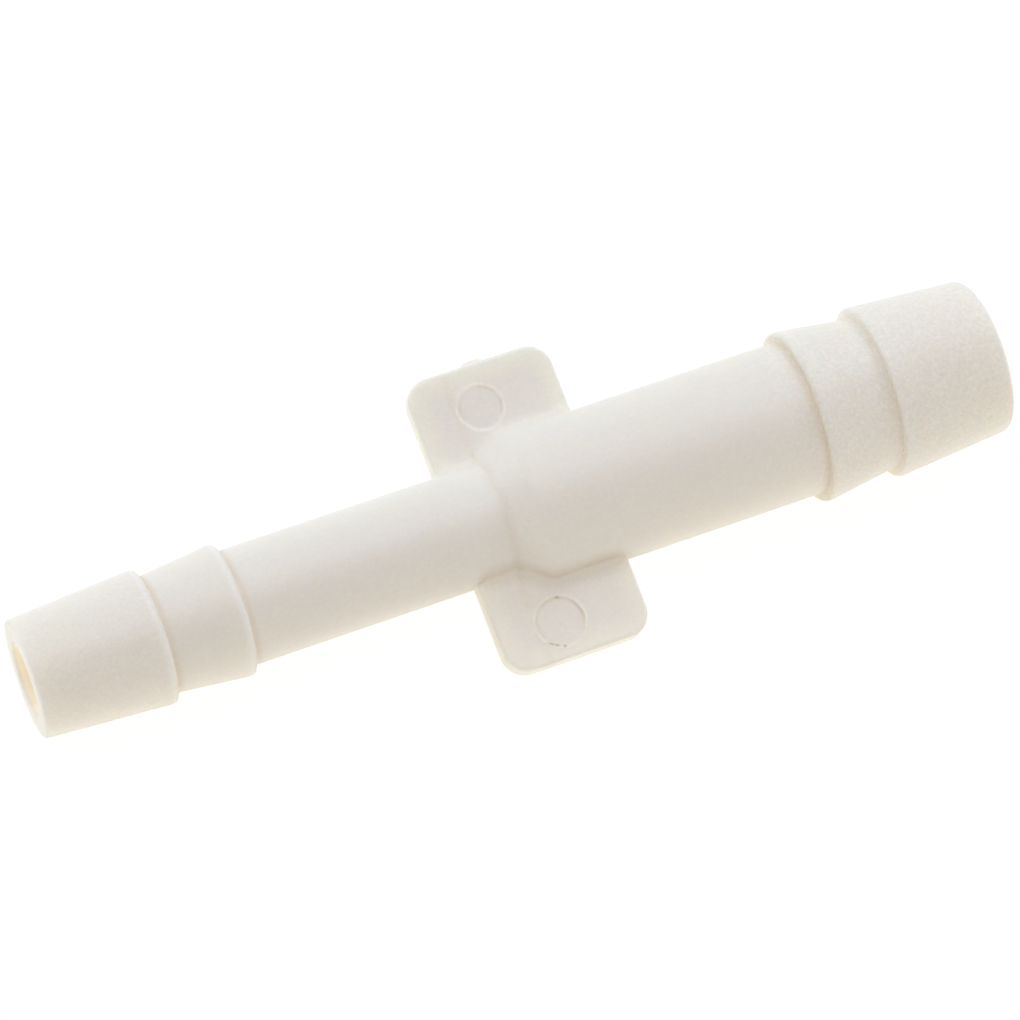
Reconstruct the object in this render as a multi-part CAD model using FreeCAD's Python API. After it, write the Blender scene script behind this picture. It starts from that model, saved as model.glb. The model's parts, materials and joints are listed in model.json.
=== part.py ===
import FreeCAD, Part

import os
from math import asin, atan2, cos, degrees, hypot, sqrt, tan

# Straight reducing connector for vacuum tubing, moulded in one piece. Millimetres, +Z up.
# It lies on its side, as it comes to rest on a table: on the first crest of the small end and on the
# inner crest of the large end, with the rim of its -Y wing all but on the table, so the other wing
# leans up.

# Small end, for 3/16 in hose
small_shank_dia = 4.70
small_tip_dia = 4.84
small_tip_crest_dia = 5.48
small_groove_dia = 4.76
small_inner_crest_dia = 5.38
small_tip_barb_length = 5.40
small_inner_barb_length = 3.28
small_tip_bevel = 0.10
small_bore_dia = 3.00

# Large end, for 1/4 in hose
large_shank_dia = 6.35
large_tip_dia = 6.36
large_crest_dia = 7.12
large_groove_dia = 6.26
large_tip_barb_length = 4.94
large_inner_barb_length = 3.24
large_tip_round = 0.25
large_bore_dia = 4.20

# Barb crests: a short level land whose corner is just broken, then a square step down
crest_land = 0.22
crest_bevel = 0.08

# Along the tube, from the face of the small end
overall_length = 41.05
cone_start = 19.70
cone_length = 1.22
cone_toe_round = 0.30
cone_shoulder_round = 0.90
bore_cone_setback = 0.30
bore_cone_length = 0.90
bore_mouth_bevel = 0.10

# The two wings are one plate through the tube's axis, and straddle the cone
wing_lead = 1.70
wing_width = 6.13
wing_span = 12.50
wing_thickness = 1.00
wing_corner_round = 1.00
wing_edge_round = 0.10
wing_root_fillet = 0.15

# At rest the rim of the -Y wing is this far off the table, so that the crests bear all the weight
rest_clearance = 0.035

# Marks that the mould leaves: two sunk ejector pin marks, and what is left of the gate
pin_mark_dia = 1.95
pin_mark_depth = 0.05
pin_mark_spacing = 9.18
pin_mark_setback = 0.38
pin_mark_offset = 0.20
gate_length = 0.80
gate_height = 0.17
gate_thickness = 0.50

X_AXIS = FreeCAD.Vector(1, 0, 0)
Y_AXIS = FreeCAD.Vector(0, 1, 0)
TIP_CENTRE = FreeCAD.Vector(0, 0, 0)
TINY = 1e-5

wing_start = cone_start - wing_lead
wing_end = wing_start + wing_width
wing_middle = wing_start + wing_width / 2
small_inner_step = small_tip_barb_length + small_inner_barb_length
large_tip_step = overall_length - large_tip_barb_length
large_inner_step = large_tip_step - large_inner_barb_length


def along(x, r):
    """A point of a profile: x along the tube, r out from its axis."""
    return FreeCAD.Vector(x, 0, r)


def rounded_profile(corners):
    """A closed wire through (point, radius) pairs. A radius above 0 rounds that corner by an arc."""
    starts = []
    ends = []
    middles = []
    for i, (at, radius) in enumerate(corners):
        before = corners[i - 1][0]
        after = corners[(i + 1) % len(corners)][0]
        into = (at - before).normalize()
        out = (after - at).normalize()
        half_turn = into.getAngle(out) / 2
        reach = radius * tan(half_turn)
        inward = (out - into).normalize()
        starts.append(at - into * reach)
        ends.append(at + out * reach)
        middles.append(at + inward * (radius / cos(half_turn) - radius))
    edges = []
    for i, (at, radius) in enumerate(corners):
        if radius > 0:
            edges.append(Part.Arc(starts[i], middles[i], ends[i]).toShape())
        edges.append(Part.makeLine(ends[i], starts[(i + 1) % len(corners)]))
    return Part.Wire(edges)


def turned(corners):
    """The solid that a closed profile sweeps about the tube's axis."""
    return Part.Face(rounded_profile(corners)).revolve(TIP_CENTRE, X_AXIS, 360)


def crest(step, dia, side):
    """A barb's crest. Its flank is on the -X side of its step for side 1, on the +X side for -1."""
    points = [
        along(step - side * crest_land, dia / 2),
        along(step - side * crest_bevel, dia / 2),
        along(step, dia / 2 - crest_bevel),
    ]
    return [(point, 0) for point in points[::side]]


def tube_outside():
    """The whole outer form, filled: two barbs, shank, cone, shank, two barbs."""
    return turned([
        (along(0, 0), 0),
        (along(0, small_tip_dia / 2 - small_tip_bevel), 0),
        (along(small_tip_bevel, small_tip_dia / 2), 0),
        *crest(small_tip_barb_length, small_tip_crest_dia, 1),
        (along(small_tip_barb_length, small_groove_dia / 2), 0),
        *crest(small_inner_step, small_inner_crest_dia, 1),
        (along(small_inner_step, small_shank_dia / 2), 0),
        (along(cone_start, small_shank_dia / 2), cone_toe_round),
        (along(cone_start + cone_length, large_shank_dia / 2), cone_shoulder_round),
        (along(large_inner_step, large_shank_dia / 2), 0),
        *crest(large_inner_step, large_crest_dia, -1),
        (along(large_tip_step, large_groove_dia / 2), 0),
        *crest(large_tip_step, large_crest_dia, -1),
        (along(overall_length, large_tip_dia / 2), large_tip_round),
        (along(overall_length, 0), 0),
    ])


def bore():
    """The through bore, run past both ends: its mouths are bevelled, and it widens under the cone."""
    widening = cone_start + bore_cone_setback
    bevel = bore_mouth_bevel
    return turned([
        (along(-bevel, 0), 0),
        (along(-bevel, small_bore_dia / 2 + 2 * bevel), 0),
        (along(bevel, small_bore_dia / 2), 0),
        (along(widening, small_bore_dia / 2), 0),
        (along(widening + bore_cone_length, large_bore_dia / 2), 0),
        (along(overall_length - bevel, large_bore_dia / 2), 0),
        (along(overall_length + bevel, large_bore_dia / 2 + 2 * bevel), 0),
        (along(overall_length + bevel, 0), 0),
    ])


def block(x_from, x_to, y_from, y_to, thickness):
    """A block about the level plane through the axis."""
    corner = FreeCAD.Vector(x_from, y_from, -thickness / 2)
    return Part.makeBox(x_to - x_from, y_to - y_from, thickness, corner)


def wing_plate():
    """The plate that makes both wings, with its four corners rounded."""
    plate = block(wing_start, wing_end, -wing_span / 2, wing_span / 2, wing_thickness)
    upright = [e for e in plate.Edges if e.BoundBox.ZLength > wing_thickness / 2]
    return plate.makeFillet(wing_corner_round, upright)


def with_root_fillets(body):
    """The fused tube and plate, with fillets where the wings' faces run into the tube."""
    roots = []
    for edge in body.Edges:
        box = edge.BoundBox
        on_wing_face = box.ZLength < TINY and abs(abs(box.ZMin) - wing_thickness / 2) < TINY
        on_tube = max(-box.YMin, box.YMax) < large_shank_dia / 2
        if on_wing_face and on_tube:
            roots.append(edge)
    return body.makeFillet(wing_root_fillet, roots)


def fillet_reach(tube_dia):
    """How far out from the axis a root fillet ends on a wing's face, beside a tube that thick."""
    rise = wing_thickness / 2 + wing_root_fillet
    return sqrt((tube_dia / 2 + wing_root_fillet) ** 2 - rise ** 2)


def rim_shavings(plate):
    """What to cut away round both wings, past their root fillets, so that their rims are round."""
    rounded = plate.makeFillet(wing_edge_round, [e for e in plate.Edges if e.BoundBox.ZLength < TINY])
    past = wing_edge_round
    outer = wing_span / 2 + past
    thickness = wing_thickness + 2 * past
    first_edge = block(wing_start - past, wing_start + past, fillet_reach(small_shank_dia), outer, thickness)
    rest = block(wing_start + past, wing_end + past, fillet_reach(large_shank_dia), outer, thickness)
    shavings = first_edge.fuse(rest).removeSplitter().cut(rounded)
    return [shavings, shavings.mirror(TIP_CENTRE, Y_AXIS)]


def pin_marks():
    """The two round sinks that the ejector pins leave in the wings' upper faces."""
    marks = []
    for side in (1, -1):
        y = side * pin_mark_spacing / 2 - pin_mark_offset
        floor = FreeCAD.Vector(wing_middle - pin_mark_setback, y, wing_thickness / 2 - pin_mark_depth)
        marks.append(Part.makeCylinder(pin_mark_dia / 2, 2 * pin_mark_depth, floor))
    return marks


def gate_stub():
    """The low stub where the gate was cut off one wing's outer edge."""
    edge = wing_span / 2
    half_length = gate_length / 2
    return block(wing_middle - half_length, wing_middle + half_length, edge - gate_height,
                 edge + gate_height, gate_thickness)


def rest_tilt():
    """How far the axis rises along X, in radians: the slope of the line under the two crests."""
    run = (large_inner_step + crest_bevel) - (small_tip_barb_length - crest_land)
    return atan2(large_crest_dia / 2 - small_tip_crest_dia / 2, run)


def rest_roll():
    """How far the body rolls about its axis, in radians, until the -Y wing's rim is all but down."""
    tilt = rest_tilt()
    first_corner = wing_start + wing_corner_round
    first_crest = small_tip_barb_length - crest_land
    axis_height = small_tip_crest_dia / 2 + (first_corner - first_crest) * tan(tilt)
    out = wing_span / 2 - wing_edge_round
    down = wing_thickness / 2 - wing_edge_round
    rim_middle = rest_clearance + wing_edge_round
    return asin((axis_height - rim_middle) / hypot(out, down)) - atan2(down, out)


def connector():
    """The moulded body, in its own axes: the axis along X from the small end's face."""
    plate = wing_plate()
    body = with_root_fillets(tube_outside().fuse(plate).removeSplitter())
    body = body.cut(rim_shavings(plate)).fuse(gate_stub()).removeSplitter()
    return body.cut([bore(), *pin_marks()])


def laid_down(body):
    """The body at rest, centred along X, with its axis over y = 0 and z = 0 at the table."""
    body.rotate(TIP_CENTRE, X_AXIS, degrees(rest_roll()))
    body.rotate(TIP_CENTRE, Y_AXIS, -degrees(rest_tilt()))
    box = body.optimalBoundingBox(False, False)
    body.translate(FreeCAD.Vector(-box.Center.x, 0, -box.ZMin))
    return body


os.makedirs("parts", exist_ok=True)
connector_body = laid_down(connector()).Solids[0]
connector_body.exportStep("parts/connector_body.step")

extent = connector_body.optimalBoundingBox(False, False)
print("axis rises %.4f degrees, roll %.4f degrees" % (degrees(rest_tilt()), degrees(rest_roll())))
print("extent %.3f %.3f %.3f to %.3f %.3f %.3f" % (
    extent.XMin, extent.YMin, extent.ZMin, extent.XMax, extent.YMax, extent.ZMax))
print("connector_body volume %.3f, area %.3f, %d faces" % (
    connector_body.Volume, connector_body.Area, len(connector_body.Faces)))
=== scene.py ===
import json
import math

import bpy
import numpy as np
from mathutils import Matrix, Vector


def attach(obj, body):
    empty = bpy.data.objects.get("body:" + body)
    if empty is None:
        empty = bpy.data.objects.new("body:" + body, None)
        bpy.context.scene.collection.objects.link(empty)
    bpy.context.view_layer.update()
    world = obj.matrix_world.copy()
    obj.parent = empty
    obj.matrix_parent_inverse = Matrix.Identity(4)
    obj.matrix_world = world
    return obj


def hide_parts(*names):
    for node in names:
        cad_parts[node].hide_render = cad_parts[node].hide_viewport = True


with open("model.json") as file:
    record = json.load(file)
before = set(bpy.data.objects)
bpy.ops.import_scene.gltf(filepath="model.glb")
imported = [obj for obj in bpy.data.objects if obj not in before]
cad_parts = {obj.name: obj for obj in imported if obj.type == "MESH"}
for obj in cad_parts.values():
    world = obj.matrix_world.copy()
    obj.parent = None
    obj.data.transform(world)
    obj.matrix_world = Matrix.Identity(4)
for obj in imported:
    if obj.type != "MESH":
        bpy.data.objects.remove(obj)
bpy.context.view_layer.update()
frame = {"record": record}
print("frame loaded")

# The scene is in metres. The shapes are worked out in mm, in the part's own axes: x along the tube from
# the small end's face, y out along the upper wing, z off the wings' upper faces.
mm = 0.001

# The tube's outline: places and lengths along x, sizes across
tube = {
    "length": 41.05,
    "smallShank": 4.70,
    "smallTip": 4.84,
    "smallTipCrest": 5.48,
    "smallGroove": 4.76,
    "smallInnerCrest": 5.38,
    "smallTipBarb": 5.40,
    "smallInnerBarb": 3.28,
    "smallTipRound": 0.15,
    "largeShank": 6.35,
    "largeTip": 6.36,
    "largeCrest": 7.12,
    "largeGroove": 6.26,
    "largeTipBarb": 4.94,
    "largeInnerBarb": 3.24,
    "largeTipRound": 0.25,
    "smallCrestLand": 0.32,
    "smallCrestRound": 0.22,
    "largeCrestLand": 0.22,
    "largeCrestRound": 0.15,
    "landRound": 0.90,       # where a flank runs into its crest's level land
    "stepRootRound": 0.04,
    "coneStart": 19.70,
    "coneLength": 1.22,
    "coneToeRound": 0.12,
    "coneShoulderRound": 0.95,
    "smallBore": 3.00,
    "largeBore": 4.20,
    "mouthRound": 0.11,
    "boreConeSetback": 0.30,
    "boreConeLength": 0.90,
    "boreConeRound": 0.30,
    "mouthToWall": 0.10,     # the frame's bore starts this far behind the small face
}

# The plate that makes both wings
wings = {
    "lead": 1.70,            # from the plate's first edge to the cone
    "width": 6.13,
    "span": 12.50,
    "thickness": 1.00,
    "cornerRound": 1.00,
    "edgeRound": 0.17,
    "rootFillet": 0.50,      # along the wings' faces
    "endFillet": 0.06,       # round their edges
    "filletRunOut": 0.45,
    "lean": 25.5469,         # degrees about the axis, until the lower rim is all but on the table
}

# What two ejector pins left on the wings' upper faces
pinMarks = {
    "marks": [               # middle from the plate's own, size across to the gap's line
        {"x": -0.35, "y": 4.42, "across": 1.76, "grey": 0.55},
        {"x": -0.43, "y": -4.75, "across": 1.94, "grey": 0.15},
    ],
    "depth": 0.045,
    "wallWidth": 0.11,
    "lip": 0.030,            # the raised witness round each sink
    "lipWidth": 0.08,
    # Painted highlight along each lip
    "lipHighlightColour": (0.96, 0.93, 0.89),
    "lipHighlightWidth": 0.104,
    "lipHighlightStrength": 0.6,
    "gapShadeWidth": 0.13,        # painted shade: the fine dark line in the gap round each pin, which gapDepth also cuts in as a shallow groove
    "gapDepth": 0.008,
    "gapShadeColour": (0.765, 0.715, 0.64),
    "gapShadeFrom": (-0.75, 0.35),               # in radii along y, where the line's painted shade grows strong, on the upper half that faces away from the lamps
    "patchSize": 0.8,        # of the breaks in the line and the lip
    "patchy": (0.40, 0.58, 0.35, 1),        # noise from and to, and how much of them it leaves
    "floorColour": (0.79, 0.78, 0.765),
    "floorEdge": 0.15,
    "above": (0.30, 0.36),   # the wings' lower faces are below this, and stay plain
    "speckColour": (0.60, 0.53, 0.43),
    "specks": [              # dark, middle from the lower mark's, turned in degrees from x
        {"x": -0.66, "y": -0.75, "length": 0.52, "width": 0.14, "turned": -35},
        {"x": -0.47, "y": -0.87, "length": 0.34, "width": 0.17, "turned": -26},
        {"x": -0.19, "y": -0.99, "length": 0.22, "width": 0.20, "turned": 0},
        {"x": 0.20, "y": 0.95, "length": 0.34, "width": 0.17, "turned": -12},
    ],
}

# What is left of the gate, in the middle of the upper wing's rim
gateStub = {
    "length": 0.84,
    "height": 0.17,
    "thickness": 0.50,
    "round": 0.15,
    "shift": 0.04,
    "blend": 0.10,           # the fillet round its foot
}

# A small knock in the edge of the upper wing's face
edgeNick = {
    "pastEnd": 0.04,
    "y": 4.76,
    "underFace": 0.04,
    "radius": 0.12,
}

# The thin line that the mould's two halves leave along both sides of the tube
partingLine = {
    "height": 0.022,
    "width": 0.040,
    "clearOfWings": 0.25,
    "runOut": 0.30,
    "colour": (0.78, 0.72, 0.62),
    "colourWidth": (0.02, 0.07),
    "patchSize": 2.5,
    "patchy": (0.40, 0.60, 0.15, 0.55),
}

# How finely the skin is divided
skin = {
    "tubeStep": 3.2,         # degrees between lines round the plain tube
    "wingAngle": 19.0,       # degrees each side of a wing, where they stand closer
    "fanLines": 15,          # from a wing's face up to that angle
    "faceLinesTo": 2.9,      # how near the axis the lines keep the face's step
    "arcStep": 18.0,         # degrees between rows round a small corner
    "longestRun": 1.3,       # between rows along the plain tube
    "markStep": 0.052,       # between lines and rows over a pin mark
    "faceStep": 0.14,        # and over the rest of a wing's face
    "closestRows": 0.0035,
    "plateGap": 0.02,        # between the plate's own rows and the tube's
    "searchMargin": 0.35,    # a wing's surface is looked for from past its rim to below the small shank
    "searchStep": 0.02,
    "halvings": 22,
}


# The small end's middle and the directions of x, y and z in the scene
def ownAxes():
    bore = next(mount for mount in frame["record"]["mounts"] if mount["name"] == "small_bore")
    outward = Vector(bore["axis"]).normalized()
    wallMiddle = bore["dims"]["length_mm"] / 2 + tube["mouthToWall"]
    tip = Vector(bore["pos_m"]) + outward * wallMiddle * mm
    along = -outward
    level = Vector((0, 0, 1)).cross(along).normalized()
    above = along.cross(level)
    lean = math.radians(wings["lean"])
    outToWing = level * math.cos(lean) + above * math.sin(lean)
    offWing = above * math.cos(lean) - level * math.sin(lean)
    return tip, along, outToWing, offWing


# Where the small inner, large inner and large tip barbs step down
def barbSteps():
    tipStep = tube["length"] - tube["largeTipBarb"]
    return tube["smallTipBarb"] + tube["smallInnerBarb"], tipStep - tube["largeInnerBarb"], tipStep


# The corners of the turned form, each (x, r, rounding), out over the tube and back through its bore
def outlineCorners():
    t = tube
    innerStep, largeInnerStep, tipStep = barbSteps()
    root = t["stepRootRound"]
    smallLand, smallEdge = t["smallCrestLand"], t["smallCrestRound"]
    largeLand, largeEdge = t["largeCrestLand"], t["largeCrestRound"]
    coneEnd = t["coneStart"] + t["coneLength"]
    widening = t["coneStart"] + t["boreConeSetback"]
    corners = [
        (0, t["smallTip"], t["smallTipRound"]),
        (t["smallTipBarb"] - smallLand, t["smallTipCrest"], t["landRound"]),
        (t["smallTipBarb"], t["smallTipCrest"], smallEdge),
        (t["smallTipBarb"], t["smallGroove"], root),
        (innerStep - smallLand, t["smallInnerCrest"], t["landRound"]),
        (innerStep, t["smallInnerCrest"], smallEdge),
        (innerStep, t["smallShank"], root),
        (t["coneStart"], t["smallShank"], t["coneToeRound"]),
        (coneEnd, t["largeShank"], t["coneShoulderRound"]),
        (largeInnerStep, t["largeShank"], root),
        (largeInnerStep, t["largeCrest"], largeEdge),
        (largeInnerStep + largeLand, t["largeCrest"], t["landRound"]),
        (tipStep, t["largeGroove"], root),
        (tipStep, t["largeCrest"], largeEdge),
        (tipStep + largeLand, t["largeCrest"], t["landRound"]),
        (t["length"], t["largeTip"], t["largeTipRound"]),
        (t["length"], t["largeBore"], t["mouthRound"]),
        (widening + t["boreConeLength"], t["largeBore"], t["boreConeRound"]),
        (widening, t["smallBore"], t["boreConeRound"]),
        (0, t["smallBore"], t["mouthRound"]),
    ]
    return [(x, across / 2, rounding) for x, across, rounding in corners]


# Rows of the turned form, each (x, r, normal x, normal r): arcs at the corners, points spaced between
def outlineRows(corners, arcStep, longestRun):
    rows = []
    for i, (x, r, rounding) in enumerate(corners):
        here = Vector((x, r))
        before = Vector(corners[i - 1][:2])
        after = Vector(corners[(i + 1) % len(corners)][:2])
        into = (here - before).normalized()
        out = (after - here).normalized()
        turn = math.atan2(into.x * out.y - into.y * out.x, into.dot(out))
        side = 1 if turn > 0 else -1
        start = here - into * rounding * math.tan(abs(turn) / 2)
        centre = start + Vector((-into.y, into.x)) * side * rounding
        steps = max(2, math.ceil(abs(math.degrees(turn)) / arcStep))
        for k in range(steps + 1):
            c, s = math.cos(turn * k / steps), math.sin(turn * k / steps)
            normal = Vector((-into.y * c - into.x * s, into.x * c - into.y * s))
            rows.append((*(centre - normal * side * rounding), *normal))
    spaced = []
    for i, row in enumerate(rows):
        after = rows[(i + 1) % len(rows)]
        run = math.hypot(after[0] - row[0], after[1] - row[1])
        pieces = max(1, math.ceil(run / longestRun))
        for k in range(pieces):
            f = k / pieces
            spaced.append(tuple(a + (b - a) * f for a, b in zip(row, after)))
    return np.array(spaced)


# The rows over the tube, and those back through its bore
def splitOutside(rows):
    lastOutside = int(np.argmax(rows[:, 0] > tube["length"] - 1e-6))
    return rows[:lastOutside], rows[lastOutside:]


def plateEdges():
    start = tube["coneStart"] - wings["lead"]
    return start, start + wings["width"]


# Each pin mark's middle and radius
def markCentres():
    start, end = plateEdges()
    return [((start + end) / 2 + mark["x"], mark["y"], mark["across"] / 2) for mark in pinMarks["marks"]]


# How far from a mark's middle its sink and lip reach
def markReach():
    return max(edge for _, _, edge in markCentres()) + 2 * pinMarks["lipWidth"]


def smooth(v):
    v = np.clip(v, 0, 1)
    return v * v * (3 - 2 * v)


# How far the plate's upper face lies below its level: the two pin marks with their raised, uneven lips
def sinkAt(x, y):
    sink = np.zeros_like(x)
    width = pinMarks["lipWidth"]
    for k, (middleX, middleY, edge) in enumerate(markCentres()):
        away = np.hypot(x - middleX, y - middleY)
        turn = np.arctan2(y - middleY, x - middleX)
        sink += pinMarks["depth"] * smooth((edge - away) / pinMarks["wallWidth"] + 0.5)
        slow, quick = np.sin(3 * turn + 1.1 + k), np.sin(7 * turn + 2.3 * k)
        uneven = 0.55 + 0.3 * slow + 0.25 * quick * np.sin(2 * turn + 0.7)
        lip = np.exp(-((away - edge - width) / width) ** 2)
        sink -= pinMarks["lip"] * lip * np.clip(uneven, 0, 1)
    return sink


# Distance from a form with rounded corners, where each value is how far past its core a point is
def roundedDistance(past, rounding):
    outside = np.sqrt(sum(np.maximum(v, 0) ** 2 for v in past))
    return outside + np.minimum(np.maximum.reduce(past), 0) - rounding


# Two forms made one, with a fillet of that radius where they meet
def joined(a, b, fillet):
    shared = np.hypot(np.maximum(fillet - a, 0), np.maximum(fillet - b, 0))
    return np.maximum(fillet, np.minimum(a, b)) - shared


# The plate with its pin marks, its gate stub and its nick
def plateDistance(x, y, z):
    start, end = plateEdges()
    middle = (start + end) / 2
    corner, edge = wings["cornerRound"], wings["edgeRound"]
    half, reach = wings["thickness"] / 2, wings["span"] / 2
    pastCorner = [np.abs(x - middle) - (wings["width"] / 2 - corner), np.abs(y) - (reach - corner)]
    up = np.abs(z) - half + np.where(z > 0, sinkAt(x, y), 0)
    plate = roundedDistance([roundedDistance(pastCorner, corner) + edge, up + edge], edge)
    stub = roundedDistance([
        np.abs(x - middle - gateStub["shift"]) - gateStub["length"] / 2 + gateStub["round"],
        np.abs(y - reach) - gateStub["height"] + gateStub["round"],
        np.abs(z) - gateStub["thickness"] / 2 + gateStub["round"],
    ], gateStub["round"])
    nickMiddle = (end + edgeNick["pastEnd"], edgeNick["y"], half - edgeNick["underFace"])
    fromNick = np.sqrt(sum((v - at) ** 2 for v, at in zip((x, y, z), nickMiddle)))
    return np.maximum(joined(plate, stub, gateStub["blend"]), edgeNick["radius"] - fromNick)


# Tube and plate in one: the fillet between them runs out towards the plate's two edges
def bodyDistance(x, y, z, outside):
    reach = np.interp(x, outside[:, 0], outside[:, 1])
    slant = np.interp(x, outside[:, 0], outside[:, 3])
    start, end = plateEdges()
    fromEnds = np.minimum(x - start, end - x)
    small, large = wings["endFillet"], wings["rootFillet"]
    fillet = small + (large - small) * smooth(fromEnds / wings["filletRunOut"])
    return joined((np.hypot(y, z) - reach) * slant, plateDistance(x, y, z), fillet)


# Angles of the skin's lines from y, close together where they cross a wing
def lineAngles():
    half, edge = wings["thickness"] / 2, wings["edgeRound"]
    reach = wings["span"] / 2
    upperMark, lowerMark = [abs(y) for _, y, _ in markCentres()]
    top = math.radians(skin["wingAngle"])

    # Over one face of one wing: round its rim, in over the face, then up to the tube
    def wingLines(markY, withStub):
        found = []
        for a in np.radians(np.linspace(0, 90, 6)):
            found.append(math.atan2(half - edge + edge * math.sin(a), reach - edge + edge * math.cos(a)))
        y = reach - edge
        while y > skin["faceLinesTo"]:
            inMark = markY is not None and abs(y - markY) < markReach()
            y -= skin["markStep"] if inMark else skin["faceStep"]
            found.append(math.atan2(half, y))
        last = found[-1]
        found += [last + (top - last) * (k + 1) / skin["fanLines"] for k in range(skin["fanLines"])]
        heights = [0.05, 0.12, 0.17, 0.20, 0.225, 0.24, 0.25, 0.27, 0.30] if withStub else [0.12, 0.25]
        found += [math.atan2(h, reach) for h in heights]
        return sorted(found)

    count = round((180 - 2 * skin["wingAngle"]) / skin["tubeStep"])
    overTube = [top + (math.pi - 2 * top) * k / count for k in range(1, count)]
    angles = [0.0, *wingLines(upperMark, True), *overTube]
    angles += [math.pi - a for a in reversed(wingLines(lowerMark, False))]
    angles += [math.pi, *(math.pi + a for a in wingLines(None, False)), *(math.pi + a for a in overTube)]
    angles += [2 * math.pi - a for a in reversed(wingLines(None, True))]
    return np.array(angles)


# Where the skin's rows cross the plate, close together at its rounded edges and over the pin marks
def plateRows(outside):
    start, end = plateEdges()
    edge, corner, fillet = wings["edgeRound"], wings["cornerRound"], wings["endFillet"]
    hair, margin = 0.002, 0.05
    fromEdge = [-fillet * share for share in (1.8, 1, 0.62, 0.32, 0.1)] + [-hair, hair]
    fromEdge += [edge * (1 - math.cos(math.radians(a))) for a in (20, 37, 53, 70, 90)]
    fromEdge += [corner * (1 - math.cos(math.radians(a))) for a in range(34, 91, 8)]
    xs = [start + d for d in fromEdge] + [end - d for d in fromEdge]
    for d in (-0.02, 0.0, 0.015, 0.04, 0.07, 0.11):  # in from the stub's two ends
        xs += [(start + end) / 2 + side * (gateStub["length"] / 2 - d) for side in (1, -1)]
    markX = sum(x for x, _, _ in markCentres()) / 2
    x = start + corner
    while x < end - corner - margin:
        x += skin["markStep"] if abs(x - markX) < markReach() + margin else skin["faceStep"]
        xs.append(x)
    kept = []
    for x in sorted(xs):
        if not kept or x - kept[-1] > skin["closestRows"]:
            kept.append(x)
    return np.stack([kept, *(np.interp(kept, outside[:, 0], outside[:, k]) for k in (1, 2, 3))], 1)


# The outermost crossing of the body's surface on each ray from the axis
def wingReach(x, angle, outside):
    c, s = np.cos(angle), np.sin(angle)
    farthest = wings["span"] / 2 + skin["searchMargin"]
    nearest = tube["smallShank"] / 2 - skin["searchMargin"]
    low = np.zeros(x.shape)
    searching = np.ones(x.shape, bool)
    for r in np.arange(farthest, nearest, -skin["searchStep"]):
        found = searching & (bodyDistance(x, r * c, r * s, outside) < 0)
        low[found] = r
        searching &= ~found
    high = np.minimum(low + skin["searchStep"], farthest)
    for _ in range(skin["halvings"]):
        r = (low + high) / 2
        inside = bodyDistance(x, r * c, r * s, outside) < 0
        low = np.where(inside, r, low)
        high = np.where(inside, high, r)
    return (low + high) / 2


def surfaceNormals(points, outside):
    hair = 0.0015
    slopes = []
    for step in hair * np.eye(3):
        ahead, behind = points + step, points - step
        slopes.append(bodyDistance(*ahead.T, outside) - bodyDistance(*behind.T, outside))
    n = np.stack(slopes, 1)
    return n / np.linalg.norm(n, axis=1, keepdims=True)


# Raises the parting line on both sides of the tube, clear of the wings
def addPartingLine(points, normals, radii, angles, xs):
    start, end = plateEdges()
    clear, runOut = partingLine["clearOfWings"], partingLine["runOut"]
    away = np.abs(np.sin(angles))[None, :] * radii
    ridge = partingLine["height"] * np.exp(-(away / partingLine["width"]) ** 2)
    uneven = 0.6 + 0.4 * np.sin(xs * 2.1 + 0.5) * np.sin(xs * 0.83)
    onTube = smooth((start - clear - xs) / runOut) + smooth((xs - end - clear) / runOut)
    points += normals * (ridge * (uneven * onTube)[:, None])[:, :, None]


# Points and normals of the whole skin in the part's own axes, row by row and line by line
def skinGrid():
    corners = outlineCorners()
    fine, _ = splitOutside(outlineRows(corners, 2.0, 0.2))
    outside, inside = splitOutside(outlineRows(corners, skin["arcStep"], skin["longestRun"]))
    crossing = plateRows(fine)
    before = outside[outside[:, 0] < crossing[0, 0] - skin["plateGap"]]
    behind = outside[outside[:, 0] > crossing[-1, 0] + skin["plateGap"]]
    rows = np.vstack([before, crossing, behind, inside])
    angles = lineAngles()
    count = len(angles)
    xs, radii = rows[:, 0], np.repeat(rows[:, 1:2], count, 1)

    onPlate = slice(len(before), len(before) + len(crossing))
    nearWings = np.where(np.abs(np.sin(angles)) < math.sin(math.radians(skin["wingAngle"] + 2)))[0]
    gridX = np.repeat(crossing[:, :1], len(nearWings), 1)
    gridAngle = np.repeat(angles[None, nearWings], len(crossing), 0)
    reach = wingReach(gridX.ravel(), gridAngle.ravel(), fine).reshape(gridX.shape)
    radii[onPlate, nearWings] = reach

    c, s = np.cos(angles)[None, :], np.sin(angles)[None, :]
    points = np.stack([np.repeat(xs[:, None], count, 1), radii * c, radii * s], 2)
    normals = np.stack([np.repeat(rows[:, 2:3], count, 1), rows[:, 3:4] * c, rows[:, 3:4] * s], 2)
    onFaces = points[onPlate, nearWings]
    normals[onPlate, nearWings] = surfaceNormals(onFaces.reshape(-1, 3), fine).reshape(onFaces.shape)
    over = slice(0, len(before) + len(crossing) + len(behind))
    addPartingLine(points[over], normals[over], radii[over], angles, xs[over])
    return points, normals


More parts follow.
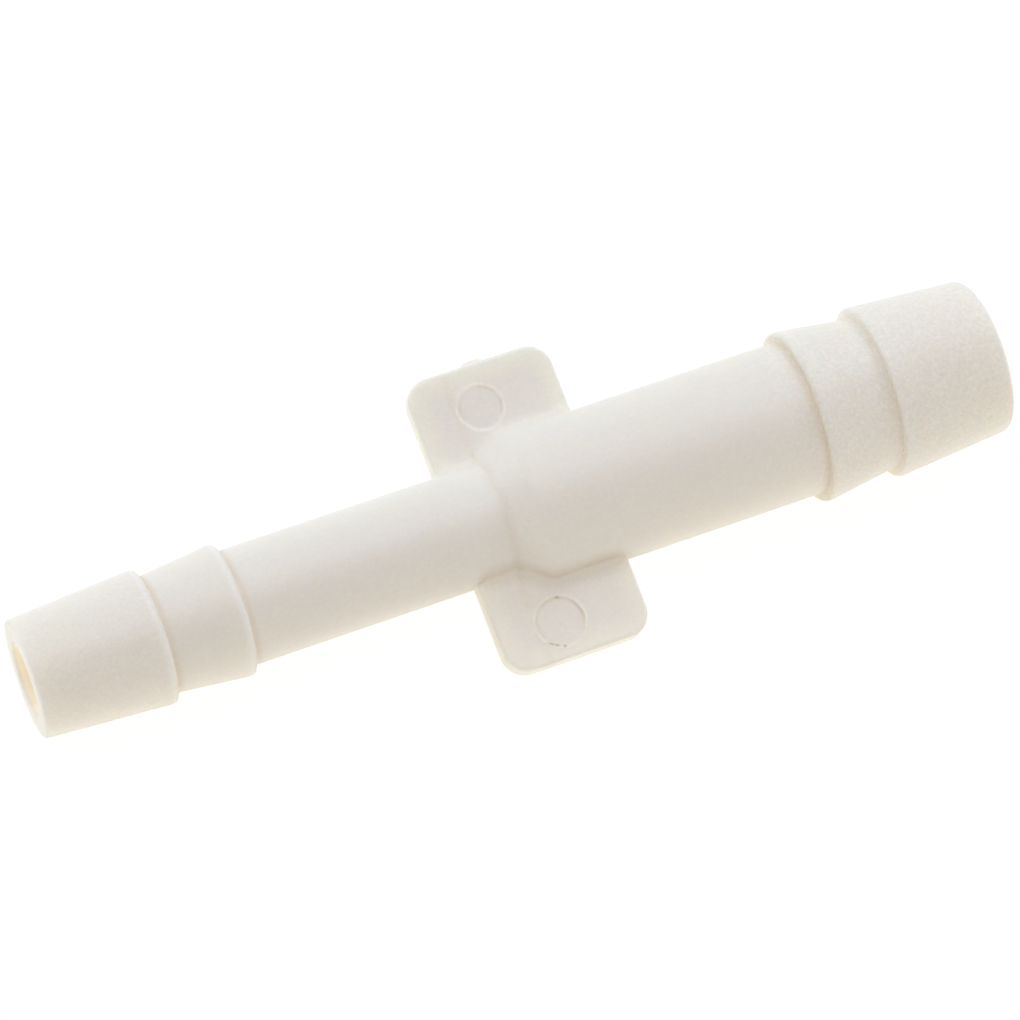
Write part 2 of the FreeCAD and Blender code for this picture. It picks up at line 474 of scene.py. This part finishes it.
def buildSkin():
    points, normals = skinGrid()
    tip, along, outToWing, offWing = ownAxes()
    turn = np.array([along, outToWing, offWing])
    places = points.reshape(-1, 3) @ turn * mm + np.array(tip)
    facing = normals.reshape(-1, 3) @ turn
    rowCount, lineCount, _ = points.shape
    i, j = np.meshgrid(np.arange(rowCount), np.arange(lineCount), indexing="ij")
    ni, nj = (i + 1) % rowCount, (j + 1) % lineCount
    quads = np.stack([i * lineCount + j, i * lineCount + nj, ni * lineCount + nj, ni * lineCount + j], 2)

    mesh = bpy.data.meshes.new("connectorSkin")
    mesh.from_pydata(places.tolist(), [], quads.reshape(-1, 4).tolist())
    mesh.polygons.foreach_set("use_smooth", [True] * len(mesh.polygons))
    mesh.normals_split_custom_set_from_vertices(facing.tolist())
    mesh.update()
    piece = bpy.data.objects.new("connector", mesh)
    bpy.context.scene.collection.objects.link(piece)
    print("connector skin: %d rows, %d lines, %d faces" % (rowCount, lineCount, len(mesh.polygons)))
    return piece


# The moulded plastic, with sizes in mm. A pair says where the soft edge of a mask begins and ends.
plastic = {
    "colour": (0.857, 0.831, 0.777),
    "cloudColour": (0.842, 0.813, 0.753),
    "cloudSize": 2.2,
    "roughness": 0.50,
    "roughnessSpread": 0.05,
    # Painted light in the bore: paler and warmer, as though light came in through its thin wall
    "boreLightColour": (0.985, 0.925, 0.79),
    "boreGlow": 0.09,                        # warm light that comes into the bore through the thin wall
    "boreGlowColour": (1.0, 0.72, 0.60),
    "boreTo": (0.05, 0.15),                  # past the large bore's radius
    "boreFromSmallFace": (0.03, 0.20),
    "boreToLargeFace": (-0.40, -0.10),
    "outsideFrom": (-0.10, -0.02),           # from the small shank's radius
    "tubeTo": (0.06, 0.14),                  # past the large crests' radius
    "rimGlowColour": (0.883, 0.863, 0.788),      # painted light and shade: the wings' rims are painted paler, as light comes through their thin edges, and their faces greyer
    "faceShadeColour": (0.825, 0.808, 0.782),
    "rimGlowWidth": 1.2,
    "wingFrom": (-0.15, 0.05),               # from the small shank's side
    "upperWingPaintedLight": -0.025,                # how much paler each wing is painted than those colours: painted shade on the upper one, painted light on the lower, for how the lamps fall
    "lowerWingPaintedLight": 0.03,
    # Painted highlights on the small barbs' crests, and painted shade at the steps' roots and the cone's
    # toe
    "crestHighlightColour": (0.905, 0.875, 0.83),
    "crestHighlightWidth": 0.28,
    "crestHighlightSetback": 0.14,                    # from a barb's step to the middle of its crest
    "rootShadeColour": (0.775, 0.70, 0.60),
    "rootShadeWidth": 0.30,
    "rootShadeSetback": 0.06,
    "glow": 0.50,                            # how much light goes into the plastic
    "glowDepth": 1.60,
    "glowByColour": (1.0, 0.8, 0.55),
    "grainSize": 0.16,
    "fineGrainSize": 0.08,
    "grainDepth": 0.004,                     # on the large tail, where the mould was coarsest
    "grainPaintedLight": 0.20,                       # painted light and shade: how much paler its heights are painted than its pits
    "grainElsewhere": 0.40,
    "grainOnSmallTip": 0.60,
    "largeTailFrom": (-2.5, 0.4),            # from its inner step, where the grain grows
    "smallTipTo": (0.0, 0.5),                # from the small tip's step
    "glintSize": 0.11,
    "glintFrom": (0.60, 0.68),
    "glintHighlight": 0.045,                      # painted highlight: how much paler a glinting facet is painted
    "glintRoughness": 0.42,
    "ior": 1.49,
}

# How strong the painted light on each step's crest and the painted shade at its root are
stepLightAndShade = {
    "smallTip": {"crest": 0.8, "root": 0.5},
    "smallInner": {"crest": 0.8, "root": 0.5},
    "coneToe": {"crest": 0.0, "root": 0.18},
    "largeInner": {"crest": 0.0, "root": 0.5},
    "largeTip": {"crest": 0.0, "root": 0.08},
}

# The shade where the lower wing's upper face runs into the tube
wingRootShade = {
    "colour": (0.765, 0.705, 0.60),
    "heightAtEnds": 0.06,    # off the face, where the fillet runs out
    "height": 0.36,
    "fadeDown": 0.16,
    "fadeUp": 0.75,
    "fromTube": (0.06, 0.16),
    "belowY": (-2.0, -1.8),
    "patchSize": 1.6,
    "patchy": (0.35, 0.65, 0.5, 1),
}


def link(tree, a, b):
    tree.links.new(a, b)


# A value taken smoothly from one range to another
def ramp(tree, value, fromMin, fromMax, toMin, toMax):
    node = tree.nodes.new("ShaderNodeMapRange")
    node.interpolation_type = "SMOOTHSTEP"
    node.inputs["From Min"].default_value = fromMin
    node.inputs["From Max"].default_value = fromMax
    node.inputs["To Min"].default_value = toMin
    node.inputs["To Max"].default_value = toMax
    link(tree, value, node.inputs["Value"])
    return node.outputs["Result"]


# One kind of sum over sockets or plain numbers. A kind that takes one value has a 0 after it.
def calc(tree, kind, *values):
    result = values[0]
    for value in values[1:]:
        node = tree.nodes.new("ShaderNodeMath")
        node.operation = kind
        for socket, part in zip(node.inputs, (result, value)):
            if isinstance(part, (int, float)):
                socket.default_value = part
            else:
                link(tree, part, socket)
        result = node.outputs["Value"]
    return result


def apart(tree, a, b):
    return calc(tree, "ABSOLUTE", calc(tree, "SUBTRACT", a, b), 0)


def weighted(tree, a, b, forA, forB):
    return calc(tree, "ADD", calc(tree, "MULTIPLY", a, forA), calc(tree, "MULTIPLY", b, forB))


def hypot(tree, a, b):
    return calc(tree, "SQRT", weighted(tree, a, b, a, b), 0)


def noise(tree, place, size, detail):
    node = tree.nodes.new("ShaderNodeTexNoise")
    node.inputs["Scale"].default_value = 1 / (size * mm)
    node.inputs["Detail"].default_value = detail
    link(tree, place, node.inputs["Vector"])
    return node.outputs["Fac"]


def tinted(tree, mask, a, b):
    node = tree.nodes.new("ShaderNodeMix")
    node.data_type = "RGBA"
    for socket, value in (("Factor", mask), ("A", a), ("B", b)):
        if isinstance(value, tuple):
            node.inputs[socket].default_value = (*value, 1)
        else:
            link(tree, value, node.inputs[socket])
    return node.outputs["Result"]


# Where a point is in the part's own axes, in mm, and how far from the tube's axis
def ownPlace(tree, place):
    tip, *axes = ownAxes()
    fromTip = tree.nodes.new("ShaderNodeVectorMath")
    fromTip.operation = "SUBTRACT"
    fromTip.inputs[1].default_value = tip
    link(tree, place, fromTip.inputs[0])
    own = []
    for axis in axes:
        dot = tree.nodes.new("ShaderNodeVectorMath")
        dot.operation = "DOT_PRODUCT"
        dot.inputs[1].default_value = axis / mm
        link(tree, fromTip.outputs["Vector"], dot.inputs[0])
        own.append(dot.outputs["Value"])
    return *own, hypot(tree, own[1], own[2])


# A pair of places given from another one
def fromPlace(at, pair):
    return [at + d for d in pair]


# 1 in the middle of an oval speck, 0 at its edge
def onSpeck(tree, x, y, middleX, middleY, speck):
    turned = math.radians(speck["turned"])
    c, s = math.cos(turned), math.sin(turned)
    halfLength, halfWidth = speck["length"] / 2, speck["width"] / 2
    dx = calc(tree, "SUBTRACT", x, middleX + speck["x"])
    dy = calc(tree, "SUBTRACT", y, middleY + speck["y"])
    lengthways = weighted(tree, dx, dy, c / halfLength, s / halfLength)
    across = weighted(tree, dx, dy, -s / halfWidth, c / halfWidth)
    return ramp(tree, hypot(tree, lengthways, across), 0, 1, 1, 0)


# Painted shade along the pin marks' gap lines, strongest on their upper halves, painted highlights on
# their lips, the lower one's dark specks, and their grey floors
def pinMarkMasks(tree, place, own):
    p = pinMarks
    x, y, off, _ = own
    onFace = ramp(tree, off, *p["above"], 0, 1)
    patchy = ramp(tree, noise(tree, place, p["patchSize"], 2), *p["patchy"])
    gapShadeFrom, gapTo = p["gapShadeFrom"]
    lines, lips, specks, floors = 0.0, 0.0, 0.0, 0.0
    for mark, (middleX, middleY, edge) in zip(p["marks"], markCentres()):
        dx = calc(tree, "SUBTRACT", x, middleX)
        dy = calc(tree, "SUBTRACT", y, middleY)
        away = hypot(tree, dx, dy)
        floor = ramp(tree, away, edge - p["floorEdge"], edge, mark["grey"], 0)
        floors = calc(tree, "ADD", floors, floor)
        line = ramp(tree, apart(tree, away, edge - p["wallWidth"] / 3), 0, p["gapShadeWidth"], 1, 0)
        upper = ramp(tree, dy, gapShadeFrom * edge, gapTo * edge, 0, 1)
        lines = calc(tree, "ADD", lines, calc(tree, "MULTIPLY", line, upper))
        lip = ramp(tree, apart(tree, away, edge + p["lipWidth"]), 0, p["lipHighlightWidth"], 1, 0)
        lips = calc(tree, "ADD", lips, lip)
    lowerX, lowerY, _ = markCentres()[-1]
    for speck in p["specks"]:
        specks = calc(tree, "MAXIMUM", specks, onSpeck(tree, x, y, lowerX, lowerY, speck))
    return (
        calc(tree, "MULTIPLY", lines, patchy, onFace),
        calc(tree, "MULTIPLY", lips, patchy, onFace, p["lipHighlightStrength"]),
        calc(tree, "MULTIPLY", specks, onFace),
        calc(tree, "MULTIPLY", floors, onFace),
    )


def inBore(tree, own):
    p = plastic
    x, _, _, away = own
    fromSmall = ramp(tree, x, *p["boreFromSmallFace"], 0, 1)
    toLarge = ramp(tree, x, *fromPlace(tube["length"], p["boreToLargeFace"]), 1, 0)
    inside = ramp(tree, away, *fromPlace(tube["largeBore"] / 2, p["boreTo"]), 1, 0)
    return calc(tree, "MULTIPLY", fromSmall, toLarge, inside)


def outsideTube(tree, own):
    return ramp(tree, own[3], *fromPlace(tube["smallShank"] / 2, plastic["outsideFrom"]), 0, 1)


# The plate beyond the tube, and how far in from its rims
def onWings(tree, own):
    x, y, off, _ = own
    start, end = plateEdges()
    halfWidth, halfSpan, half = wings["width"] / 2, wings["span"] / 2, wings["thickness"] / 2
    rim = plastic["rimGlowWidth"]
    fromMiddle = apart(tree, x, (start + end) / 2)
    outward = apart(tree, y, 0)
    beside = ramp(tree, fromMiddle, halfWidth + 0.01, halfWidth + 0.06, 1, 0)  # fades past the plate
    pastTube = ramp(tree, outward, *fromPlace(tube["smallShank"] / 2, plastic["wingFrom"]), 0, 1)
    level = ramp(tree, apart(tree, off, 0), half + 0.02, half + 0.10, 1, 0)
    inWidth = ramp(tree, fromMiddle, halfWidth - rim, halfWidth - 0.1, 1, 0)
    inSpan = ramp(tree, outward, halfSpan - rim, halfSpan - 0.1, 1, 0)
    return calc(tree, "MULTIPLY", beside, pastTube, level), calc(tree, "MULTIPLY", inWidth, inSpan)


# Painted highlights on the small barbs' crests, and painted shade at the root of each step
def stepMasks(tree, own):
    p = plastic
    x = own[0]
    innerStep, largeInnerStep, tipStep = barbSteps()
    steps = {                # where each one is, and which way it faces along x
        "smallTip": (tube["smallTipBarb"], 1),
        "smallInner": (innerStep, 1),
        "coneToe": (tube["coneStart"] + p["rootShadeSetback"], -1),
        "largeInner": (largeInnerStep, -1),
        "largeTip": (tipStep, -1),
    }
    outside = outsideTube(tree, own)
    crests, rootShades = 0.0, 0.0
    for name, (at, side) in steps.items():
        fromCrest = apart(tree, x, at - side * p["crestHighlightSetback"])
        fromRoot = apart(tree, x, at + side * p["rootShadeSetback"])
        crest = ramp(tree, fromCrest, 0.05, p["crestHighlightWidth"], stepLightAndShade[name]["crest"], 0)
        root = ramp(tree, fromRoot, 0.04, p["rootShadeWidth"], stepLightAndShade[name]["root"], 0)
        crests, rootShades = calc(tree, "ADD", crests, crest), calc(tree, "ADD", rootShades, root)
    return calc(tree, "MULTIPLY", crests, outside), calc(tree, "MULTIPLY", rootShades, outside)


# The corner where the lower wing's upper face runs into the tube
def inWingRoot(tree, place, own):
    shade = wingRootShade
    x, y, off, away = own
    start, end = plateEdges()
    coneStart, coneEnd = tube["coneStart"], tube["coneStart"] + tube["coneLength"]
    small, large = tube["smallShank"] / 2, tube["largeShank"] / 2
    tubeRadius = ramp(tree, x, coneStart - 0.1, coneEnd + 0.3, small, large)
    nearTube = ramp(tree, calc(tree, "SUBTRACT", away, tubeRadius), *shade["fromTube"], 1, 0)
    fromEnds = calc(tree, "MINIMUM", calc(tree, "SUBTRACT", x, start), calc(tree, "SUBTRACT", end, x))
    heights = fromPlace(wings["thickness"] / 2, (shade["heightAtEnds"], shade["height"]))
    height = ramp(tree, fromEnds, 0, wings["filletRunOut"], *heights)
    aboveLine = calc(tree, "SUBTRACT", off, height)
    up = ramp(tree, aboveLine, -shade["fadeDown"], 0, 0, 1)
    down = ramp(tree, aboveLine, -0.1, shade["fadeUp"], 1, 0)
    patchy = ramp(tree, noise(tree, place, shade["patchSize"], 1), *shade["patchy"])
    below = ramp(tree, y, *shade["belowY"], 1, 0)
    beside = ramp(tree, fromEnds, -0.05, 0.1, 0, 1)
    return calc(tree, "MULTIPLY", nearTube, up, down, patchy, below, beside)


def onPartingLine(tree, place, own):
    p = partingLine
    _, _, off, away = own
    flat = ramp(tree, apart(tree, off, 0), *p["colourWidth"], 1, 0)
    onTube = ramp(tree, away, *fromPlace(tube["largeCrest"] / 2, plastic["tubeTo"]), 1, 0)
    patchy = ramp(tree, noise(tree, place, p["patchSize"], 2), *p["patchy"])
    return calc(tree, "MULTIPLY", flat, outsideTube(tree, own), onTube, patchy)


def plasticMaterial():
    p = plastic
    material = bpy.data.materials.new("offWhitePlastic")
    material.use_nodes = True
    tree = material.node_tree
    tree.nodes.clear()
    output = tree.nodes.new("ShaderNodeOutputMaterial")
    shader = tree.nodes.new("ShaderNodeBsdfPrincipled")
    place = tree.nodes.new("ShaderNodeTexCoord").outputs["Object"]
    own = ownPlace(tree, place)

    # The grain is strong on the large tail, less on the small tip and least between them
    _, largeInnerStep, _ = barbSteps()
    largeTail = fromPlace(largeInnerStep, p["largeTailFrom"])
    smallTip = fromPlace(tube["smallTipBarb"], p["smallTipTo"])
    onLargeTail = ramp(tree, own[0], *largeTail, p["grainElsewhere"], 1)
    onSmallTip = ramp(tree, own[0], *smallTip, p["grainOnSmallTip"], 0)
    strength = calc(tree, "MAXIMUM", onLargeTail, onSmallTip)
    grain = noise(tree, place, p["grainSize"], 2)
    glint = ramp(tree, noise(tree, place, p["glintSize"], 0), *p["glintFrom"], 0, 1)
    glint = calc(tree, "MULTIPLY", glint, strength)

    # Colour: a cloudy ground, with what lies over it from the first to the last
    bore = inBore(tree, own)
    wing, face = onWings(tree, own)
    crests, rootShades = stepMasks(tree, own)
    lines, lips, specks, floors = pinMarkMasks(tree, place, own)
    tone = tinted(tree, noise(tree, place, p["cloudSize"], 3), p["colour"], p["cloudColour"])
    for mask, colour in (
        (bore, p["boreLightColour"]),
        (wing, tinted(tree, face, p["rimGlowColour"], p["faceShadeColour"])),
        (crests, p["crestHighlightColour"]),
        (rootShades, p["rootShadeColour"]),
        (inWingRoot(tree, place, own), wingRootShade["colour"]),
        (floors, pinMarks["floorColour"]),
        (lines, pinMarks["gapShadeColour"]),
        (lips, pinMarks["lipHighlightColour"]),
        (specks, pinMarks["speckColour"]),
        (onPartingLine(tree, place, own), partingLine["colour"]),
    ):
        tone = tinted(tree, mask, tone, colour)
    # Painted light on the grain's heights and painted shade in its pits
    grainPaintedLight = calc(tree, "MULTIPLY", calc(tree, "SUBTRACT", grain, 0.5), p["grainPaintedLight"], strength)
    # Each wing painted paler or darker for how the lamps fall on it
    wingPaintedLight = ramp(tree, own[1], -2, 2, p["lowerWingPaintedLight"], p["upperWingPaintedLight"])
    # Painted highlights on the glinting facets
    paler = calc(
        tree, "ADD", grainPaintedLight, 1.0, calc(tree, "MULTIPLY", glint, p["glintHighlight"]),
        calc(tree, "MULTIPLY", wingPaintedLight, wing))
    scaled = tree.nodes.new("ShaderNodeVectorMath")
    scaled.operation = "SCALE"
    link(tree, tone, scaled.inputs[0])
    link(tree, paler, scaled.inputs["Scale"])
    link(tree, scaled.outputs["Vector"], shader.inputs["Base Color"])

    # All heights are in mm, so the bump's own distance is 1 mm
    fine = calc(tree, "MULTIPLY", noise(tree, place, p["fineGrainSize"], 1), 0.5)
    heights = calc(tree, "MULTIPLY", calc(tree, "ADD", grain, fine), strength, p["grainDepth"])
    heights = calc(tree, "SUBTRACT", heights, calc(tree, "MULTIPLY", lines, pinMarks["gapDepth"]))
    bump = tree.nodes.new("ShaderNodeBump")
    bump.inputs["Distance"].default_value = mm
    bump.inputs["Strength"].default_value = 1.0
    link(tree, heights, bump.inputs["Height"])
    link(tree, bump.outputs["Normal"], shader.inputs["Normal"])

    # Here and there a facet of the grain is smoother and glints
    least, most = p["roughness"] - p["roughnessSpread"], p["roughness"] + p["roughnessSpread"]
    uneven = ramp(tree, grain, 0.35, 0.65, least, most)
    smoother = calc(tree, "MULTIPLY", glint, p["glintRoughness"] - p["roughness"])
    link(tree, calc(tree, "ADD", uneven, smoother), shader.inputs["Roughness"])

    # A painted glow in the bore: emission in place of the light that comes through its thin wall
    glow = tinted(tree, bore, (0.0, 0.0, 0.0), p["boreGlowColour"])
    link(tree, glow, shader.inputs["Emission Color"])
    shader.inputs["Emission Strength"].default_value = p["boreGlow"]
    shader.inputs["IOR"].default_value = p["ior"]
    shader.inputs["Subsurface Weight"].default_value = p["glow"]
    shader.inputs["Subsurface Radius"].default_value = p["glowByColour"]
    shader.inputs["Subsurface Scale"].default_value = p["glowDepth"] * mm
    link(tree, shader.outputs["BSDF"], output.inputs["Surface"])
    return material


connector = buildSkin()
connector.data.materials.append(plasticMaterial())
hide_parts("connector_body")
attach(connector, "root")
print("connector placed")

table = {
    "size": 3.0,             # metres
    "colour": (0.90, 0.90, 0.88),
    "ownLight": 0.955,       # what the camera sees of it without lamps
    "seenShade": 0.075,      # how much of the real shading it keeps for the camera
    "lightBox": 0.54,        # the white box under the table top, as the plastic feels it
    "lightBoxColour": (1.0, 0.93, 0.76),
}


# A node with its values set, and its first output
def shaderOutput(tree, kind, **values):
    node = tree.nodes.new(kind)
    for name, value in values.items():
        node.inputs[name].default_value = value
    return node.outputs[0]


# Two shaders added up, or, with a mask, the second one in place of the first where it is 1
def blended(tree, a, b, mask=None):
    node = tree.nodes.new("ShaderNodeAddShader" if mask is None else "ShaderNodeMixShader")
    if mask is not None:
        link(tree, mask, node.inputs["Fac"])
    for socket, shader in zip(node.inputs[-2:], (a, b)):
        link(tree, shader, socket)
    return node.outputs["Shader"]


# 1 where the camera looks, straight, by a reflection or through glass
def asSeen(tree):
    rays = tree.nodes.new("ShaderNodeLightPath").outputs
    seen = calc(tree, "ADD", rays["Is Camera Ray"], rays["Is Glossy Ray"], rays["Is Transmission Ray"])
    seen.node.use_clamp = True
    return seen


def tableMaterial():
    material = bpy.data.materials.new("whiteTable")
    material.use_nodes = True
    tree = material.node_tree
    tree.nodes.clear()
    output = tree.nodes.new("ShaderNodeOutputMaterial")
    boxColour = (*table["lightBoxColour"], 1)
    plain = shaderOutput(tree, "ShaderNodeBsdfDiffuse", Color=(*table["colour"], 1))
    box = shaderOutput(tree, "ShaderNodeEmission", Color=boxColour, Strength=table["lightBox"])
    shade = shaderOutput(tree, "ShaderNodeBsdfDiffuse", Color=(*[table["seenShade"]] * 3, 1))
    white = shaderOutput(tree, "ShaderNodeEmission", Strength=table["ownLight"])
    surface = blended(tree, blended(tree, plain, box), blended(tree, shade, white), asSeen(tree))
    link(tree, surface, output.inputs["Surface"])
    return material


def buildTable():
    half = table["size"] / 2
    corners = [(-half, -half, 0), (half, -half, 0), (half, half, 0), (-half, half, 0)]
    mesh = bpy.data.meshes.new("tableTop")
    mesh.from_pydata(corners, [], [(0, 1, 2, 3)])
    mesh.materials.append(tableMaterial())
    piece = bpy.data.objects.new("tableTop", mesh)
    bpy.context.scene.collection.objects.link(piece)
    return piece


buildTable()
print("table ready")

light = {
    "room": 0.315,           # even light from all round
    "roomColour": (1.0, 0.92, 0.885),
    "lamps": {
        "overhead": {
            "at": (0.0, 0.0, 0.60), "size": 0.40, "watts": 1.13, "colour": (1.01, 1.0, 1.02),
        },
        "right": {
            "at": (0.425, 0.175, 0.386), "size": 0.34, "watts": 1.00, "colour": (0.88, 1.0, 1.12),
        },
        "backLeft": {
            "at": (-0.375, 0.375, 0.275), "size": 0.34, "watts": 1.05, "colour": (0.86, 1.0, 1.07),
        },
    },
}


def buildRoom():
    world = bpy.data.worlds.new("whiteRoom")
    bpy.context.scene.world = world
    world.use_nodes = True
    tree = world.node_tree
    tree.nodes.clear()
    output = tree.nodes.new("ShaderNodeOutputWorld")
    roomColour = (*light["roomColour"], 1)
    lit = shaderOutput(tree, "ShaderNodeBackground", Color=roomColour, Strength=light["room"])
    white = shaderOutput(tree, "ShaderNodeBackground", Strength=1.0)
    link(tree, blended(tree, lit, white, asSeen(tree)), output.inputs["Surface"])


def buildLamp(name, lamp):
    data = bpy.data.lights.new(name, "AREA")
    data.shape = "DISK"
    data.size = lamp["size"]
    data.energy = lamp["watts"]
    data.color = lamp["colour"]
    piece = bpy.data.objects.new(name, data)
    piece.location = lamp["at"]
    piece.rotation_euler = (-Vector(lamp["at"])).to_track_quat("-Z", "Y").to_euler()
    bpy.context.scene.collection.objects.link(piece)


buildRoom()
for name, lamp in light["lamps"].items():
    buildLamp(name, lamp)
print("room and lamps ready")

view = {
    "at": (-51.729, -118.589, 166.724),      # mm
    "right": (0.92299, -0.38465, 0.01212),
    "up": (0.29457, 0.72640, 0.62095),
    "lens": 185.655,
}


def buildCamera():
    data = bpy.data.cameras.new("photoView")
    data.sensor_fit = "HORIZONTAL"
    data.sensor_width = 36.0
    data.lens = view["lens"]
    data.clip_start = 0.01
    data.clip_end = 10.0
    piece = bpy.data.objects.new("photoView", data)
    right, up = Vector(view["right"]).normalized(), Vector(view["up"]).normalized()
    back = right.cross(up).normalized()
    up = back.cross(right)
    turn = Matrix((right, up, back)).transposed().to_4x4()
    piece.matrix_world = Matrix.Translation(Vector(view["at"]) * mm) @ turn
    bpy.context.scene.collection.objects.link(piece)
    bpy.context.scene.camera = piece


buildCamera()
bpy.context.scene.view_settings.view_transform = "Standard"
print("camera ready")

bpy.context.view_layer.update()
